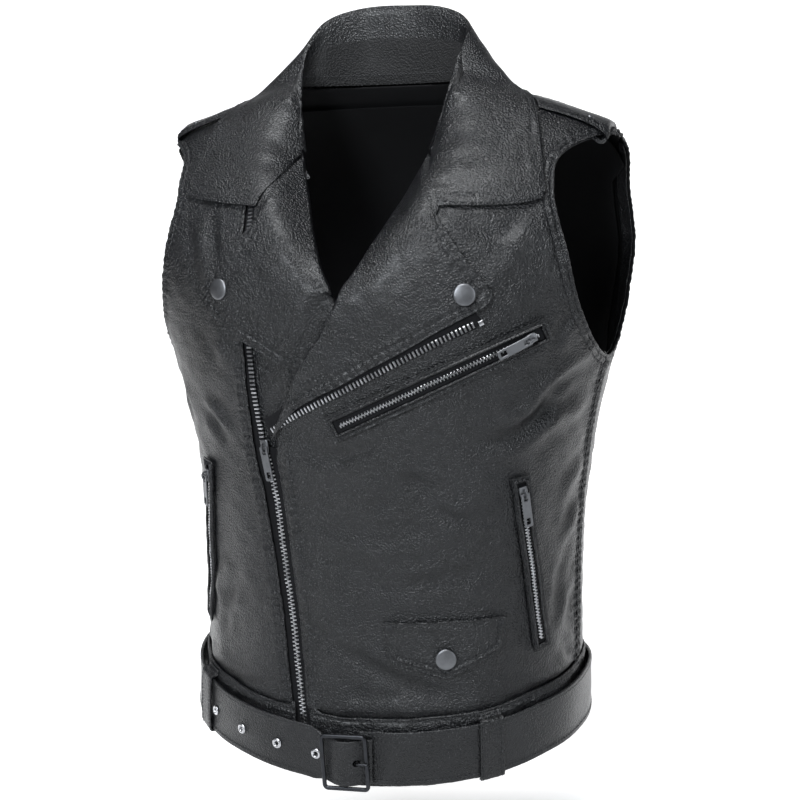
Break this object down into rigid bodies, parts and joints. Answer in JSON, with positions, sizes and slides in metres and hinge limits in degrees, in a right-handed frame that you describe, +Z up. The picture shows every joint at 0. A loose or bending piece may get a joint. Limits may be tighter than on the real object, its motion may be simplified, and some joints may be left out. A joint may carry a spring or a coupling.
{
  "type": "leather vest",
  "caption": "Sleeveless black leather biker vest with notched lapels, folded collar, slanted main zip, zip pockets, flap pocket, shoulder straps and buckled waist belt.",
  "frame": {"origin": "on the centre plane at the height where the shoulder seams meet the neck, where the vest hangs on its wearer", "axes": "+Z up, -Y towards the front, +X towards the wearer's left"},
  "size_m": [0.4314, 0.2851, 0.6584],
  "materials": {
    "black_leather": "semi-gloss pebbled cowhide, black topstitching",
    "lining": "plain matt woven lining",
    "zip_tape": "woven black zip tape",
    "zip_metal": "bright nickel plate",
    "dark_metal": "matt gunmetal plate"
  },
  "bodies": {
    "vest": {"front_left": "black_leather", "front_right": "black_leather", "underlap_right": "black_leather", "back_panel": "black_leather", "armhole_facing_front_left": "black_leather", "armhole_facing_front_right": "black_leather", "armhole_facing_back_left": "black_leather", "armhole_facing_back_right": "black_leather", "waistband_left": "black_leather", "waistband_right": "black_leather", "waistband_back": "black_leather", "lapel_left": "black_leather", "lapel_right": "black_leather", "collar": "black_leather", "epaulette_left": "black_leather", "epaulette_right": "black_leather", "belt_strap": "black_leather", "belt_loop_front_left": "black_leather", "belt_loop_front_right": "black_leather", "belt_loop_back_left": "black_leather", "belt_loop_back_right": "black_leather", "welt_chest": "black_leather", "welt_hand_left": "black_leather", "welt_hand_right": "black_leather", "pocket_flap": "black_leather", "lining_back": "lining", "zip_tape_right": "zip_tape", "zip_tape_left": "zip_tape", "zip_tape_left_open": "zip_tape", "zip_tape_chest": "zip_tape", "zip_tape_hand_left": "zip_tape", "zip_tape_hand_right": "zip_tape", "eyelet_1": "zip_metal", "eyelet_2": "zip_metal", "eyelet_3": "zip_metal", "eyelet_4": "zip_metal", "slider_main": "zip_metal", "slider_chest": "zip_metal", "slider_hand_left": "zip_metal", "slider_hand_right": "zip_metal", "buckle_frame": "dark_metal", "buckle_prong": "dark_metal", "snap_lapel_left": "dark_metal", "snap_lapel_right": "dark_metal", "snap_flap": "dark_metal"},
    "tab_main": {"pull_main": "zip_metal"},
    "tab_chest": {"pull_chest": "zip_metal"},
    "tab_hand_left": {"pull_hand_left": "zip_metal"},
    "tab_hand_right": {"pull_hand_right": "zip_metal"}
  },
  "joints": [
    {"name": "pull_main_hinge", "type": "hinge", "parent": "vest", "child": "tab_main", "pos_m": [-0.07172, -0.11907, -0.31009], "axis": [-0.9581, 0.2513, -0.1377], "range_deg": [0, 150]},
    {"name": "pull_chest_hinge", "type": "hinge", "parent": "vest", "child": "tab_chest", "pos_m": [0.15419, -0.09367, -0.21678], "axis": [-0.2976, -0.2476, 0.922], "range_deg": [0, 150]},
    {"name": "pull_hand_left_hinge", "type": "hinge", "parent": "vest", "child": "tab_hand_left", "pos_m": [0.14634, -0.08315, -0.34837], "axis": [-0.733, -0.6606, -0.1624], "range_deg": [0, 150]},
    {"name": "pull_hand_right_hinge", "type": "hinge", "parent": "vest", "child": "tab_hand_right", "pos_m": [-0.14634, -0.08315, -0.34837], "axis": [-0.733, 0.6606, 0.1624], "range_deg": [0, 150]}
  ]
}
